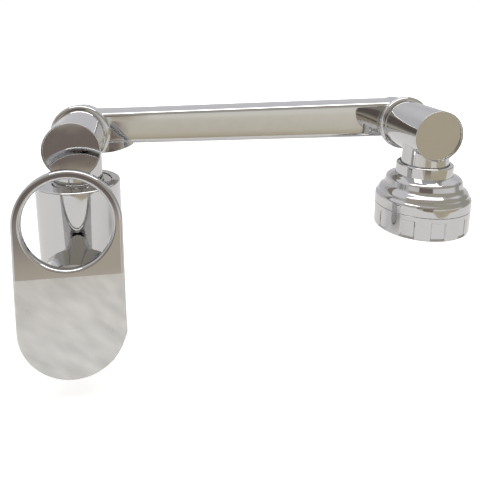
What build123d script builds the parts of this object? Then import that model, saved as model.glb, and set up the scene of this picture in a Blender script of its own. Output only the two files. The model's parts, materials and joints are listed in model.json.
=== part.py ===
from build123d import *
import os
from math import cos, radians, sin

os.makedirs("parts", exist_ok=True)

# Frame: origin at the centre of the body's base on the deck, Z up, X along the
# spout towards the spray head, the lever and the hub caps facing -Y.

# Clearances
RUN_FIT = 0.05
LOOSE = 0.3
FACE_GAP = 0.1
SEAL_FIT = 0.02
SEAT_FIT = 0.03

# Body
BODY_R = 23.0
BODY_H = 98.0
BODY_EDGE = 1.2
GASKET_T = 1.5
GASKET_INSET = 0.6
GASKET_CLEAR = 0.8
INLET_R = 4.5
INLET_DEPTH = 14.0
INLET_X = 7.5
INLET_Y = 10.0
PASSAGE_R = 2.6
STUD_HOLE_R = 3.4
STUD_HOLE_Y = -12.0
STUD_HOLE_DEPTH = 12.0

# Swivel between body and neck
NECK_R = 13.6
SPIGOT_R = 11.0
SPIGOT_LEN = 24.0
COLLAR_R = 15.4
COLLAR_T = 2.6
RING_NUT_R = 18.5
RING_NUT_T = 5.5
RING_NUT_SINK = 0.6
WASHER_T = 1.2
CORE_R = 5.0

# Hubs
HUB_RISE = 21.3
HUB_R = 15.0
HUB_FRONT = -18.5
HUB_REAR = 21.5
HUB_BORE_R = 12.0
END_BORE_R = 9.0
SHOULDER_T = 2.0
CAP_T = 1.5
CAP_PLUG_T = 1.2
CAP_EDGE = 0.4
WINDOW_HALF = 5.3
CHANNEL_DEPTH = 2.0
CLIP_T = 0.8
CLIP_DEPTH = 1.0
CLIP_OUT = 1.4
WAVE_T = 0.6
SEAL_W = 1.8
SEAL_DEPTH = 1.4

# Arm
ARM_REACH = 206.0
FLANGE_R = 17.0
FLANGE_T = 2.7
TUBE_H_ROOT = 20.0
TUBE_H_HEAD = 23.6
TUBE_D = 20.0
TUBE_WALL = 1.3
TUBE_CORNER = 4.0
TUBE_RISE = 2.2
KNUCKLE_R = 14.6
ROOT_LEN = 31.0
ROOT_DROP = 5.1
ROOT_RUN = 11.5
ROOT_ROUND = 14.0
HEAD_ROOT_LEN = 18.5
TENON_LEN = 9.0
KNUCKLE_EDGE = 2.0

# Spray head
HEAD_Y = -5.0
HEAD_NECK_R = 13.5
HEAD_NECK_FOOT_R = 13.9
HEAD_DROP = 18.8
UNION_R = 16.6
UNION_H = 6.1
UNION_SINK = 1.5
NECK_FLANGE_R = 15.0
NECK_FLANGE_T = 2.4
BELL_R = 28.0
BELL_H = 19.8
BELL_RIM = 5.2
BELL_WALL = 2.4
SHOULDER_IN = 6.6
SHOULDER_UP = 16.4
WAIST_IN = 5.2
WAIST_UP = 12.6
FLARE_IN = 2.6
FLARE_UP = 8.0
RING_H = 14.8
RING_WALL = 3.2
RING_LIP = 2.0
LUGS = 10
LUG_RELIEF = 0.7
LUG_START = 3.0
RETAINER_OUT = 0.6
RETAINER_T = 1.0
RETAINER_UP = 9.5
NOZZLE_R = 0.6
NOZZLE_ROWS = ((9.5, 12), (14.0, 18), (18.5, 24))
AERATOR_R = 6.0

# Cartridge and its boss
CART_Z = 48.5
CART_R = 12.4
CART_REAR = -9.0
BOSS_R = 19.0
BOSS_FRONT = -40.0
NUT_R = 15.2
NUT_LEN = 7.0
HOUSING_FLANGE_T = 2.6
HOUSING_WALL = 1.2
CART_BASE_FRONT = -15.0
FIXED_DISC_T = 3.5
MOVING_DISC_T = 2.6
CARRIER_T = 4.5
DISC_R = 10.4
MOVING_R = 7.0
PORT_R = 2.2
PORT_OFFSET = 5.0
RISER_WALL = 1.2
DOME_R = 18.7
DOME_T = 2.4
DOME_OPENING_R = 8.8
PIVOT_Y = -36.0
PIVOT_R = 4.5
PIN_R = 1.25
STEM_SIDE = 6.0
STEM_REAR = 12.0
STEM_TAIL_R = 2.4

# Lever
PLATE_W = 51.8
PLATE_T = 4.5
PLATE_EDGE = 1.4
HOLE_R = 21.5
FOLD_Y = -50.0
RING_UP = 25.0
FOLD_Z = 65.3
TONGUE_END_Z = 38.7
RING_LEAN = 9.0
TONGUE_FLARE = 6.0
LEVER_HUB_R = 7.0
LEVER_HUB_FRONT = -44.9
SCREW_R = 1.5
SCREW_LEN = 3.2

X_DIR = (1, 0, 0)
Y_DIR = (0, 1, 0)
Z_DIR = (0, 0, 1)


def plane_xz(x, y):
    """Upright drawing plane at x, y whose own x is X and whose own y is Z."""
    return Plane(origin=(x, y, 0), x_dir=X_DIR, z_dir=(0, -1, 0))


def plane_hub(x, z):
    """Flat drawing plane at x, z whose own x is X and whose own y is Y."""
    return Plane(origin=(x, 0, z), x_dir=X_DIR, z_dir=Z_DIR)


def facing(x, y, z):
    """Plane at x, y, z that looks towards -Y, with X to the right and Z up."""
    return Plane(origin=(x, y, z), x_dir=X_DIR, z_dir=(0, -1, 0))


def outline(points):
    """Closed polygon in the sketch that is open."""
    Polygon(*points, align=None)


def band(inner, outer, low, high):
    """Rectangle between two radii and two stations, as profile points."""
    return [(inner, low), (outer, low), (outer, high), (inner, high)]


def save(piece, name):
    piece.part.label = name
    export_step(piece.part, f"parts/{name}.step")


# Heights that follow the body's top, from the hubs down to the spray head
HUB_Z = BODY_H + HUB_RISE
HEAD_TOP = HUB_Z - HEAD_DROP
UNION_FOOT = HEAD_TOP - UNION_H
BELL_FOOT = UNION_FOOT - BELL_H

BODY_AXIS = Axis((0, 0, 0), Z_DIR)
HEAD_AXIS = Axis((ARM_REACH, HEAD_Y, 0), Z_DIR)
CART_AXIS = Axis((0, 0, CART_Z), Y_DIR)

# Stations of the swivel, from the body's top down
ring_nut_top = BODY_H - RING_NUT_SINK
ring_nut_foot = ring_nut_top - RING_NUT_T
collar_top = ring_nut_foot - FACE_GAP
collar_foot = collar_top - COLLAR_T
washer_foot = collar_foot - WASHER_T
spigot_foot = collar_foot - SPIGOT_LEN
swivel_seal_z = [washer_foot - 5.0, washer_foot - 12.0]

# Stations of the cartridge, from its rear to the front
nut_front = BOSS_FRONT + 1.0
nut_rear = nut_front + NUT_LEN
pocket_rear = nut_rear + HOUSING_FLANGE_T
fixed_front = CART_BASE_FRONT - FIXED_DISC_T
moving_front = fixed_front - MOVING_DISC_T
carrier_front = moving_front - CARRIER_T
housing_inner_r = CART_R - HOUSING_WALL
housing_front = nut_front
rotor_rear = carrier_front - FACE_GAP
riser_y = CART_REAR + RISER_WALL + PORT_R
port_spots = [(-PORT_OFFSET, -2.5), (PORT_OFFSET, -2.5), (0, PORT_OFFSET)]


# Body shell: cylinder with a front boss, cartridge bore, swivel bore and inlets
with BuildPart() as body_shell:
    with BuildSketch(Plane.XY.offset(GASKET_T)):
        Circle(BODY_R)
    extrude(amount=BODY_H - GASKET_T)
    chamfer(body_shell.faces().sort_by(Axis.Z)[-1].edges(), BODY_EDGE)
    with BuildSketch(facing(0, 0, CART_Z)):
        Circle(BOSS_R)
    extrude(amount=-BOSS_FRONT)
    with BuildSketch(plane_xz(0, 0)):
        outline(band(0, RING_NUT_R + SEAT_FIT, ring_nut_foot, BODY_H))
        outline(band(0, COLLAR_R + LOOSE, washer_foot, ring_nut_foot))
        outline(band(0, SPIGOT_R + RUN_FIT, spigot_foot - 1.0, washer_foot))
    revolve(axis=BODY_AXIS, mode=Mode.SUBTRACT)
    with BuildSketch(plane_hub(0, CART_Z)):
        outline(band(0, CART_R + SEAT_FIT, nut_rear, CART_REAR))
        outline(band(0, NUT_R + SEAT_FIT, BOSS_FRONT, pocket_rear))
    revolve(axis=CART_AXIS, mode=Mode.SUBTRACT)
    # Inlet threads, drilled on to the cartridge's ports
    with BuildSketch(Plane.XY.offset(GASKET_T)):
        with Locations((-INLET_X, INLET_Y), (INLET_X, INLET_Y)):
            Circle(INLET_R)
    extrude(amount=INLET_DEPTH, mode=Mode.SUBTRACT)
    with BuildSketch(Plane.XY.offset(GASKET_T)):
        with Locations((-INLET_X, INLET_Y), (INLET_X, INLET_Y)):
            Circle(PASSAGE_R)
    extrude(amount=CART_Z - GASKET_T, mode=Mode.SUBTRACT)
    with BuildSketch(facing(0, INLET_Y, CART_Z)):
        for x, z in port_spots[:2]:
            with Locations((x, z)):
                Circle(PORT_R)
    extrude(amount=INLET_Y - CART_REAR + FACE_GAP, mode=Mode.SUBTRACT)
    # Outlet drilling from the cartridge up to the swivel
    with BuildSketch(facing(0, riser_y, CART_Z)):
        with Locations(port_spots[2]):
            Circle(PORT_R)
    extrude(amount=riser_y - CART_REAR + FACE_GAP, mode=Mode.SUBTRACT)
    with BuildSketch(Plane.XY.offset(CART_Z + PORT_OFFSET)):
        with Locations((0, riser_y)):
            Circle(PORT_R)
    extrude(amount=spigot_foot - CART_Z - PORT_OFFSET, mode=Mode.SUBTRACT)
    # Threaded hole for the fixing stud
    with BuildSketch(Plane.XY.offset(GASKET_T)):
        with Locations((0, STUD_HOLE_Y)):
            Circle(STUD_HOLE_R)
    extrude(amount=STUD_HOLE_DEPTH, mode=Mode.SUBTRACT)
save(body_shell, "body_shell")

# Flat gasket between body and deck, pierced for the hoses and the stud
with BuildPart() as base_gasket:
    with BuildSketch(Plane.XY):
        Circle(BODY_R - GASKET_INSET)
        with Locations((-INLET_X, INLET_Y), (INLET_X, INLET_Y)):
            Circle(INLET_R + GASKET_CLEAR, mode=Mode.SUBTRACT)
        with Locations((0, STUD_HOLE_Y)):
            Circle(STUD_HOLE_R + GASKET_CLEAR, mode=Mode.SUBTRACT)
    extrude(amount=GASKET_T)
save(base_gasket, "base_gasket")

with BuildPart() as swivel_ring_nut:
    with BuildSketch(plane_xz(0, 0)):
        outline(band(NECK_R + LOOSE, RING_NUT_R, ring_nut_foot, ring_nut_top))
    revolve(axis=BODY_AXIS)
    chamfer(swivel_ring_nut.faces().sort_by(Axis.Z)[-1].edges(), BODY_EDGE / 3)
save(swivel_ring_nut, "swivel_ring_nut")

with BuildPart() as swivel_thrust_washer:
    with BuildSketch(plane_xz(0, 0)):
        outline(band(SPIGOT_R + LOOSE, COLLAR_R, washer_foot, collar_foot - FACE_GAP))
    revolve(axis=BODY_AXIS)
save(swivel_thrust_washer, "swivel_thrust_washer")

# Seals that sit in the spigot's grooves and turn with it
with BuildPart() as swivel_seals:
    for z in swivel_seal_z:
        with BuildSketch(plane_xz(0, 0)):
            outline(band(SPIGOT_R - SEAL_DEPTH, SPIGOT_R + SEAL_FIT, z, z + SEAL_W))
        revolve(axis=BODY_AXIS)
save(swivel_seals, "swivel_seals")


def hub_stations(window_y):
    """Shoulder, washer and clip stations along a hub, towards its front."""
    shoulder_rear = window_y - WINDOW_HALF
    shoulder_front = shoulder_rear - SHOULDER_T
    clip_rear = shoulder_front - WAVE_T - FACE_GAP
    return shoulder_rear, shoulder_front, clip_rear


def hub_bore(x, window_y):
    """Cuts the bore of a hub: cap seat, clip room, shoulder and spigot bore."""
    shoulder_rear, shoulder_front, _ = hub_stations(window_y)
    with BuildSketch(plane_hub(x, HUB_Z)) as bore:
        outline(band(0, HUB_BORE_R, HUB_FRONT, shoulder_front))
        outline(band(0, END_BORE_R + RUN_FIT, shoulder_front, shoulder_rear))
        outline(band(0, HUB_BORE_R + RUN_FIT, shoulder_rear, HUB_REAR))
    revolve(bore.sketch, axis=Axis((x, 0, HUB_Z), Y_DIR), mode=Mode.SUBTRACT)


# Left elbow: swivel spigot, retaining collar, neck and horizontal hub
with BuildPart() as elbow_left:
    with BuildSketch(plane_xz(0, 0)):
        outline(band(0, SPIGOT_R, spigot_foot, collar_foot))
        outline(band(0, COLLAR_R, collar_foot, collar_top))
        outline(band(0, NECK_R, collar_top, HUB_Z))
    revolve(axis=BODY_AXIS)
    with BuildSketch(facing(0, HUB_REAR, HUB_Z)):
        Circle(HUB_R)
    extrude(amount=HUB_REAR - HUB_FRONT - CAP_T)
    hub_bore(0, 0)
    with BuildSketch(Plane.XY.offset(spigot_foot)):
        Circle(CORE_R)
    extrude(amount=HUB_Z - spigot_foot, mode=Mode.SUBTRACT)
    with BuildSketch(plane_xz(0, 0)):
        for z in swivel_seal_z:
            outline(band(SPIGOT_R - SEAL_DEPTH, SPIGOT_R, z, z + SEAL_W))
    revolve(axis=BODY_AXIS, mode=Mode.SUBTRACT)
save(elbow_left, "elbow_left")

# Right elbow: hub and tapered neck with the flange that the union nut holds
union_inner_r = HEAD_NECK_FOOT_R + LOOSE
neck_flange_top = UNION_FOOT - UNION_SINK
neck_flange_foot = neck_flange_top - NECK_FLANGE_T
with BuildPart() as elbow_right:
    with BuildSketch(plane_xz(ARM_REACH, HEAD_Y)):
        outline([(0, neck_flange_foot), (NECK_FLANGE_R, neck_flange_foot),
                 (NECK_FLANGE_R, neck_flange_top), (HEAD_NECK_FOOT_R, neck_flange_top),
                 (HEAD_NECK_FOOT_R, HEAD_TOP), (HEAD_NECK_R, HUB_Z - HUB_BORE_R),
                 (HEAD_NECK_R, HUB_Z), (0, HUB_Z)])
    revolve(axis=HEAD_AXIS)
    with BuildSketch(facing(ARM_REACH, HUB_REAR, HUB_Z)):
        Circle(HUB_R)
    extrude(amount=HUB_REAR - HUB_FRONT - CAP_T)
    hub_bore(ARM_REACH, HEAD_Y)
    with BuildSketch(facing(ARM_REACH, HUB_FRONT + CAP_T, HUB_Z)):
        Circle(HUB_R + SEAT_FIT)
    extrude(amount=2 * CAP_T, mode=Mode.SUBTRACT)
    with BuildSketch(Plane(origin=(ARM_REACH, HEAD_Y, neck_flange_foot), x_dir=X_DIR, z_dir=Z_DIR)):
        Circle(CORE_R)
    extrude(amount=HUB_Z - neck_flange_foot, mode=Mode.SUBTRACT)
save(elbow_right, "elbow_right")


def end_cap(x, name):
    """Flat mirror cap with a short plug that fits the hub's front bore."""
    with BuildPart() as cap:
        with BuildSketch(facing(x, HUB_FRONT + CAP_T, HUB_Z)):
            Circle(HUB_R)
        extrude(amount=CAP_T)
        chamfer(cap.faces().sort_by(Axis.Y)[0].edges(), CAP_EDGE)
        with BuildSketch(facing(x, HUB_FRONT + CAP_T + CAP_PLUG_T, HUB_Z)):
            Circle(HUB_BORE_R - SEAT_FIT)
        extrude(amount=CAP_PLUG_T)
    save(cap, name)


end_cap(0, "end_cap_left")
end_cap(ARM_REACH, "end_cap_right")


def spigot_profile(window_y):
    """Half section of an arm spigot, from its closed front end to the flange."""
    shoulder_rear, shoulder_front, clip_rear = hub_stations(window_y)
    nose = clip_rear - CLIP_T - 0.8
    waist = HUB_BORE_R - CHANNEL_DEPTH
    flange_front = HUB_REAR + LOOSE
    return [(0, nose), (END_BORE_R, nose), (END_BORE_R, clip_rear - CLIP_T),
            (END_BORE_R - CLIP_DEPTH, clip_rear - CLIP_T), (END_BORE_R - CLIP_DEPTH, clip_rear),
            (END_BORE_R, clip_rear), (END_BORE_R, shoulder_rear + LOOSE),
            (waist, shoulder_rear + LOOSE), (waist, window_y + WINDOW_HALF),
            (HUB_BORE_R, window_y + WINDOW_HALF), (HUB_BORE_R, flange_front),
            (FLANGE_R, flange_front), (FLANGE_R, flange_front + FLANGE_T), (0, flange_front + FLANGE_T)]


def seal_stations(window_y):
    """Groove stations: one rear seal on the spigot, one front seal in the shoulder."""
    shoulder_rear, shoulder_front, _ = hub_stations(window_y)
    rear = window_y + WINDOW_HALF + 1.5
    front = (shoulder_rear + shoulder_front - SEAL_W * 0.6) / 2
    return rear, front


tube_z = HUB_Z + TUBE_RISE
tube_front = HUB_REAR + LOOSE + FLANGE_T
tube_rear = tube_front + TUBE_D
tube_mid_y = (tube_front + tube_rear) / 2
tube_len = ARM_REACH - HEAD_ROOT_LEN - ROOT_LEN
root_top = tube_z - HUB_Z + TUBE_H_ROOT / 2
root_edge = root_top - TUBE_H_ROOT
root_foot = root_edge - ROOT_DROP
head_root_top = tube_z - HUB_Z + TUBE_H_HEAD / 2
head_root_foot = head_root_top - TUBE_H_HEAD
FRONT_SEAL_W = SEAL_W * 0.6


def cut_spigot(x, window_y, into, side):
    """Hollows a knuckle: core, window holes, seal grooves and the way to the tube."""
    rear, front = seal_stations(window_y)
    axis = Axis((x, 0, HUB_Z), Y_DIR)
    with BuildSketch(plane_hub(x, HUB_Z)) as core:
        outline(band(0, CORE_R, window_y - WINDOW_HALF + 1.0, tube_mid_y))
        outline(band(HUB_BORE_R - SEAL_DEPTH, HUB_BORE_R, rear, rear + SEAL_W))
        outline(band(END_BORE_R - SEAL_DEPTH, END_BORE_R, front, front + FRONT_SEAL_W))
    revolve(core.sketch, axis=axis, mode=Mode.SUBTRACT)
    with BuildSketch(Plane(origin=(x, window_y, HUB_Z), x_dir=X_DIR, z_dir=Z_DIR)) as upright:
        Circle(CORE_R / 2)
    extrude(upright.sketch, amount=HUB_BORE_R, both=True, mode=Mode.SUBTRACT)
    with BuildSketch(Plane(origin=(x, window_y, HUB_Z), x_dir=Y_DIR, z_dir=X_DIR)) as crossing:
        Circle(CORE_R / 2)
    extrude(crossing.sketch, amount=HUB_BORE_R, both=True, mode=Mode.SUBTRACT)
    with BuildSketch(Plane(origin=(x, tube_mid_y, HUB_Z), x_dir=Y_DIR, z_dir=(side, 0, 0))) as mouth:
        Circle(CORE_R)
    extrude(mouth.sketch, amount=into, mode=Mode.SUBTRACT)


def tenon(x, side, tube_h):
    """Tongue that enters the tube from a knuckle's end face."""
    bore_corner = TUBE_CORNER - TUBE_WALL
    slack = 2 * (TUBE_WALL + SEAT_FIT) + abs(TUBE_H_HEAD - TUBE_H_ROOT) * TENON_LEN / tube_len
    with BuildSketch(Plane(origin=(x, tube_mid_y, tube_z), x_dir=Y_DIR, z_dir=(side, 0, 0))) as tongue:
        RectangleRounded(TUBE_D - 2 * (TUBE_WALL + SEAT_FIT), tube_h - slack, bore_corner)
    extrude(tongue.sketch, amount=TENON_LEN)


# Left knuckle: flange and spigot for the hub, deeper root, tenon for the tube
with BuildPart() as knuckle_left:
    with BuildSketch(facing(0, tube_front, HUB_Z)):
        Circle(KNUCKLE_R)
        with BuildLine():
            Line((0, root_top), (ROOT_LEN, root_top))
            Line((ROOT_LEN, root_top), (ROOT_LEN, root_edge))
            RadiusArc((ROOT_LEN, root_edge), (ROOT_LEN - ROOT_RUN, root_foot), ROOT_ROUND)
            Line((ROOT_LEN - ROOT_RUN, root_foot), (0, root_foot))
            Line((0, root_foot), (0, root_top))
        make_face()
    extrude(amount=-TUBE_D)
    fillet(knuckle_left.faces().sort_by(Axis.Y)[-1].edges(), KNUCKLE_EDGE)
    with BuildSketch(plane_hub(0, HUB_Z)):
        outline(spigot_profile(0))
    revolve(axis=Axis((0, 0, HUB_Z), Y_DIR))
    tenon(ROOT_LEN, 1, TUBE_H_ROOT)
    cut_spigot(0, 0, ROOT_LEN + TENON_LEN, 1)
save(knuckle_left, "knuckle_left")

# Right knuckle: round end, flange and spigot, tenon for the tube
with BuildPart() as knuckle_right:
    with BuildSketch(facing(ARM_REACH, tube_front, HUB_Z)):
        Circle(KNUCKLE_R)
        with BuildLine():
            Polyline((-HEAD_ROOT_LEN, head_root_foot), (0, head_root_foot),
                     (0, head_root_top), (-HEAD_ROOT_LEN, head_root_top), close=True)
        make_face()
    extrude(amount=-TUBE_D)
    fillet(knuckle_right.faces().sort_by(Axis.Y)[-1].edges(), KNUCKLE_EDGE)
    with BuildSketch(plane_hub(ARM_REACH, HUB_Z)):
        outline(spigot_profile(HEAD_Y))
    revolve(axis=Axis((ARM_REACH, 0, HUB_Z), Y_DIR))
    tenon(ARM_REACH - HEAD_ROOT_LEN, -1, TUBE_H_HEAD)
    cut_spigot(ARM_REACH, HEAD_Y, HEAD_ROOT_LEN + TENON_LEN, -1)
save(knuckle_right, "knuckle_right")

# Flattened tube between the knuckles, a little taller towards the head
with BuildPart() as arm_tube:
    for wall, mode in ((0, Mode.ADD), (TUBE_WALL, Mode.SUBTRACT)):
        for x, height in ((ROOT_LEN, TUBE_H_ROOT), (ROOT_LEN + tube_len, TUBE_H_HEAD)):
            with BuildSketch(Plane(origin=(x, tube_mid_y, tube_z), x_dir=Y_DIR, z_dir=X_DIR)):
                RectangleRounded(TUBE_D - 2 * wall, height - 2 * wall, TUBE_CORNER - wall)
        loft(ruled=True, mode=mode)
save(arm_tube, "arm_tube")


def hub_fittings(x, window_y, side):
    """Seals, wave washer and retaining clip that hold an arm spigot in its hub."""
    _, shoulder_front, clip_rear = hub_stations(window_y)
    rear, front = seal_stations(window_y)
    axis = Axis((x, 0, HUB_Z), Y_DIR)
    with BuildPart() as seals:
        with BuildSketch(plane_hub(x, HUB_Z)):
            outline(band(HUB_BORE_R - SEAL_DEPTH, HUB_BORE_R + SEAL_FIT, rear, rear + SEAL_W))
        revolve(axis=axis)
        with BuildSketch(plane_hub(x, HUB_Z)):
            outline(band(END_BORE_R - SEAL_DEPTH, END_BORE_R + SEAL_FIT, front, front + FRONT_SEAL_W))
        revolve(axis=axis)
    save(seals, f"hub_seals_{side}")
    with BuildPart() as washer:
        with BuildSketch(plane_hub(x, HUB_Z)):
            outline(band(END_BORE_R + RUN_FIT, END_BORE_R + CLIP_OUT, shoulder_front - WAVE_T, shoulder_front))
        revolve(axis=axis)
    save(washer, f"wave_washer_{side}")
    with BuildPart() as clip:
        with BuildSketch(plane_hub(x, HUB_Z)):
            outline(band(END_BORE_R - CLIP_DEPTH, END_BORE_R + CLIP_OUT, clip_rear - CLIP_T, clip_rear))
        revolve(axis=axis)
        with BuildSketch(facing(x, clip_rear, HUB_Z)):
            with Locations((0, -END_BORE_R)):
                Rectangle(END_BORE_R / 2, END_BORE_R)
        extrude(amount=CLIP_T, mode=Mode.SUBTRACT)
    save(clip, f"retaining_clip_{side}")


hub_fittings(0, 0, "left")
hub_fittings(ARM_REACH, HEAD_Y, "right")

# Union nut that hangs the spray head on the neck's flange
with BuildPart() as head_collar:
    with BuildSketch(plane_xz(ARM_REACH, HEAD_Y)):
        outline([(union_inner_r, neck_flange_top + FACE_GAP), (UNION_R, neck_flange_top + FACE_GAP),
                 (UNION_R, HEAD_TOP - BODY_EDGE), (UNION_R - BODY_EDGE, HEAD_TOP),
                 (union_inner_r, HEAD_TOP)])
        outline(band(NECK_FLANGE_R + LOOSE, UNION_R, neck_flange_foot - 2.0, neck_flange_top + FACE_GAP))
    revolve(axis=HEAD_AXIS)
save(head_collar, "head_collar")

collar_rest = neck_flange_foot - 2.0
with BuildPart() as head_washer:
    with BuildSketch(plane_xz(ARM_REACH, HEAD_Y)):
        outline(band(CORE_R + 1.0, NECK_FLANGE_R, collar_rest, neck_flange_foot))
    revolve(axis=HEAD_AXIS)
save(head_washer, "head_washer")

# Bell of the spray head: shoulder, flare and upright rim
ring_inner_r = BELL_R - RING_WALL
bell_step = BELL_FOOT + 1.5
bell_core_r = BELL_R - WAIST_IN - BELL_WALL
bell_room = BELL_FOOT + WAIST_UP - BELL_WALL
insert_top = collar_rest - BELL_WALL
with BuildPart() as head_shell:
    with BuildSketch(plane_xz(ARM_REACH, HEAD_Y)):
        with BuildLine():
            Line((CORE_R, collar_rest), (UNION_R + SEAT_FIT, collar_rest))
            Line((UNION_R + SEAT_FIT, collar_rest), (UNION_R + SEAT_FIT, UNION_FOOT))
            Spline((UNION_R + SEAT_FIT, UNION_FOOT), (BELL_R - SHOULDER_IN, BELL_FOOT + SHOULDER_UP),
                   (BELL_R - WAIST_IN, BELL_FOOT + WAIST_UP), (BELL_R - FLARE_IN, BELL_FOOT + FLARE_UP),
                   (BELL_R - BODY_EDGE / 2, BELL_FOOT + BELL_RIM + BODY_EDGE / 2),
                   tangents=((1, -0.25), (1, -1)))
            Line((BELL_R - BODY_EDGE / 2, BELL_FOOT + BELL_RIM + BODY_EDGE / 2), (BELL_R, BELL_FOOT + BELL_RIM))
            Line((BELL_R, BELL_FOOT + BELL_RIM), (BELL_R, BELL_FOOT))
            Line((BELL_R, BELL_FOOT), (ring_inner_r - LOOSE, BELL_FOOT))
            Line((ring_inner_r - LOOSE, BELL_FOOT), (ring_inner_r - LOOSE, bell_step))
            Line((ring_inner_r - LOOSE, bell_step), (bell_core_r, bell_room))
            Line((bell_core_r, bell_room), (bell_core_r, insert_top))
            Line((bell_core_r, insert_top), (CORE_R, insert_top))
            Line((CORE_R, insert_top), (CORE_R, collar_rest))
        make_face()
    revolve(axis=HEAD_AXIS)
save(head_shell, "head_shell")

# Scalloped ring that turns on the aerator insert
ring_top = BELL_FOOT - FACE_GAP
ring_foot = ring_top - RING_H
face_top = ring_foot + RING_LIP + 2.5
insert_r = ring_inner_r - RUN_FIT
retainer_z = ring_foot + RETAINER_UP
with BuildPart() as spray_ring:
    with BuildSketch(plane_xz(ARM_REACH, HEAD_Y)):
        outline([(ring_inner_r, ring_top), (ring_inner_r, ring_foot + RING_LIP),
                 (ring_inner_r - 2.0, ring_foot + RING_LIP), (ring_inner_r - 2.0, ring_foot),
                 (BELL_R - 2.0, ring_foot), (BELL_R - 0.6, ring_foot + 0.8), (BELL_R, ring_foot + 2.6),
                 (BELL_R, ring_top)])
    revolve(axis=HEAD_AXIS)
    with BuildSketch(plane_xz(ARM_REACH, HEAD_Y)):
        outline(band(ring_inner_r, ring_inner_r + RETAINER_OUT + FACE_GAP,
                     retainer_z, retainer_z + RETAINER_T + 2 * FACE_GAP))
    revolve(axis=HEAD_AXIS, mode=Mode.SUBTRACT)
    with BuildSketch(Plane(origin=(ARM_REACH, HEAD_Y, ring_foot), x_dir=X_DIR, z_dir=Z_DIR)):
        with PolarLocations(0, LUGS, start_angle=360 / LUGS / 4):
            with BuildLine():
                half = 180 / LUGS / 2
                CenterArc((0, 0), BELL_R - LUG_RELIEF, -half, 2 * half)
                CenterArc((0, 0), BELL_R + 1.0, -half, 2 * half)
                for edge in (-half, half):
                    Line(((BELL_R - LUG_RELIEF) * cos(radians(edge)), (BELL_R - LUG_RELIEF) * sin(radians(edge))),
                         ((BELL_R + 1.0) * cos(radians(edge)), (BELL_R + 1.0) * sin(radians(edge))))
            make_face()
    extrude(amount=RING_H - LUG_START, mode=Mode.SUBTRACT)
save(spray_ring, "spray_ring")

# Face plate with rows of nozzles and a central aerator opening
with BuildPart() as spray_face:
    with BuildSketch(Plane(origin=(ARM_REACH, HEAD_Y, ring_foot + RING_LIP), x_dir=X_DIR, z_dir=Z_DIR)):
        Circle(ring_inner_r - SEAT_FIT)
        Circle(AERATOR_R, mode=Mode.SUBTRACT)
        for row_r, count in NOZZLE_ROWS:
            with PolarLocations(row_r, count):
                Circle(NOZZLE_R, mode=Mode.SUBTRACT)
    extrude(amount=face_top - ring_foot - RING_LIP)
save(spray_face, "spray_face")

disc_top = face_top + 1.6
with BuildPart() as mode_disc:
    with BuildSketch(Plane(origin=(ARM_REACH, HEAD_Y, face_top), x_dir=X_DIR, z_dir=Z_DIR)):
        Circle(ring_inner_r - SEAT_FIT)
        Circle(AERATOR_R, mode=Mode.SUBTRACT)
        with PolarLocations((NOZZLE_ROWS[0][0] + NOZZLE_ROWS[1][0]) / 2, LUGS):
            Circle(PORT_R, mode=Mode.SUBTRACT)
    extrude(amount=disc_top - face_top)
save(mode_disc, "mode_disc")

# Insert: fixed core of the head that the ring turns on
insert_foot = disc_top + FACE_GAP
groove_depth = 2 * RETAINER_OUT
groove_top = retainer_z + RETAINER_T + 2 * FACE_GAP
with BuildPart() as aerator_insert:
    with BuildSketch(plane_xz(ARM_REACH, HEAD_Y)):
        outline([(AERATOR_R, insert_foot), (insert_r, insert_foot), (insert_r, retainer_z),
                 (insert_r - groove_depth, retainer_z), (insert_r - groove_depth, groove_top),
                 (insert_r, groove_top),
                 (insert_r, BELL_FOOT - LOOSE), (bell_core_r - SEAT_FIT, bell_step),
                 (bell_core_r - SEAT_FIT, insert_top - FACE_GAP), (AERATOR_R, insert_top - FACE_GAP)])
    revolve(axis=HEAD_AXIS)
    with BuildSketch(Plane(origin=(ARM_REACH, HEAD_Y, insert_foot), x_dir=X_DIR, z_dir=Z_DIR)):
        with PolarLocations((NOZZLE_ROWS[0][0] + NOZZLE_ROWS[1][0]) / 2, LUGS):
            Circle(PORT_R)
    extrude(amount=insert_top - insert_foot, mode=Mode.SUBTRACT)
save(aerator_insert, "aerator_insert")

with BuildPart() as ring_retainer:
    with BuildSketch(plane_xz(ARM_REACH, HEAD_Y)):
        outline(band(insert_r - groove_depth + FACE_GAP, ring_inner_r + RETAINER_OUT,
                     retainer_z + FACE_GAP, retainer_z + FACE_GAP + RETAINER_T))
    revolve(axis=HEAD_AXIS)
save(ring_retainer, "ring_retainer")

# Round strainers stacked in the insert's centre
with BuildPart() as aerator_screens:
    for level in range(3):
        height = insert_foot + 2.0 + 3.0 * level
        with BuildSketch(Plane(origin=(ARM_REACH, HEAD_Y, height), x_dir=X_DIR, z_dir=Z_DIR)):
            Circle(AERATOR_R)
            with GridLocations(2.0, 2.0, 5, 5):
                Rectangle(1.1, 1.1, mode=Mode.SUBTRACT)
        extrude(amount=0.5)
save(aerator_screens, "aerator_screens")

# Cartridge: base with ports, housing, ceramic discs, carrier and rotor
with BuildPart() as cartridge_base:
    with BuildSketch(facing(0, CART_REAR, CART_Z)):
        Circle(CART_R)
        for spot in port_spots:
            with Locations(spot):
                Circle(PORT_R, mode=Mode.SUBTRACT)
    extrude(amount=CART_REAR - CART_BASE_FRONT)
    with BuildSketch(facing(0, CART_REAR, CART_Z)):
        for spot in port_spots:
            with Locations(spot):
                Circle(PORT_R + 1.3)
                Circle(PORT_R, mode=Mode.SUBTRACT)
    extrude(amount=1.0, mode=Mode.SUBTRACT)
save(cartridge_base, "cartridge_base")

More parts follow.
